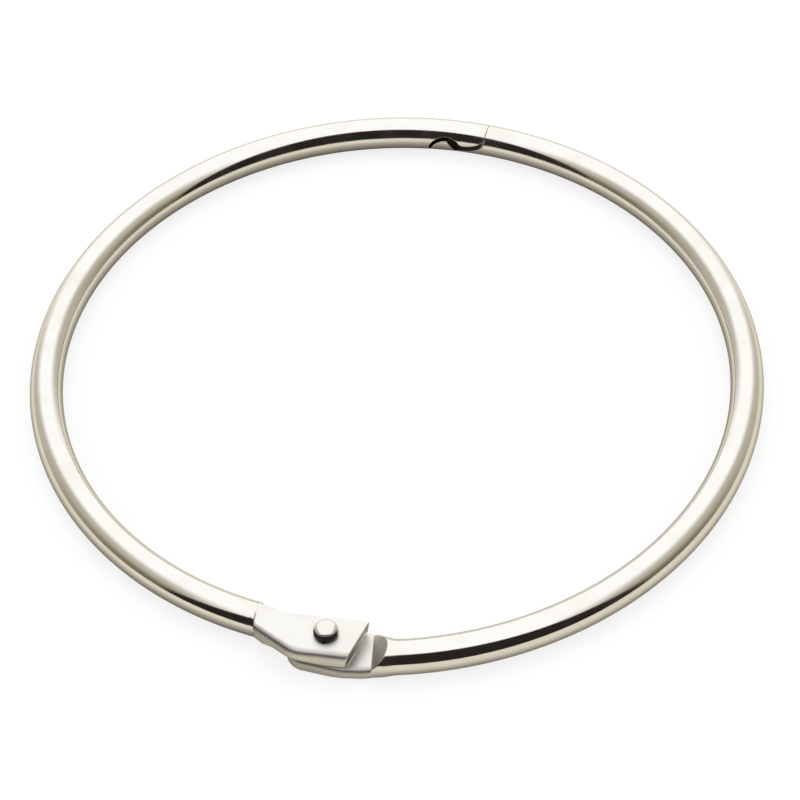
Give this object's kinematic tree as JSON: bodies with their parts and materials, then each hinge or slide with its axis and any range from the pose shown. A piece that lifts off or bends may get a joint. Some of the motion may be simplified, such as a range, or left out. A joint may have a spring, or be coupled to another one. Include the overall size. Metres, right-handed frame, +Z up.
{
  "type": "binder ring",
  "caption": "Hinged wire ring for loose sheets: two half rings of round nickel-plated wire, riveted together at flat tabs and closed by a hooked lap latch.",
  "frame": {"origin": "middle of the ring's footprint, on the surface it lies on", "axes": "+Z up through the ring, -Y towards the riveted hinge, +Y towards the latch, +X towards the tongue half"},
  "size_m": [0.085, 0.0868, 0.0049],
  "materials": {
    "catch_wire": "bright nickel plate on round steel wire, warm tint",
    "tongue_wire": "bright nickel plate on round steel wire, warm tint",
    "rivet": "bright nickel plate on a formed rivet head"
  },
  "bodies": {
    "catch_side": {"catch_half": "catch_wire", "hinge_rivet": "rivet"},
    "tongue_side": {"tongue_half": "tongue_wire"}
  },
  "joints": [
    {"name": "hinge", "type": "hinge", "parent": "catch_side", "child": "tongue_side", "pos_m": [-0.00064, -0.04043, 0.0019], "axis": [0, 0, -1], "range_deg": [0, 140]}
  ]
}
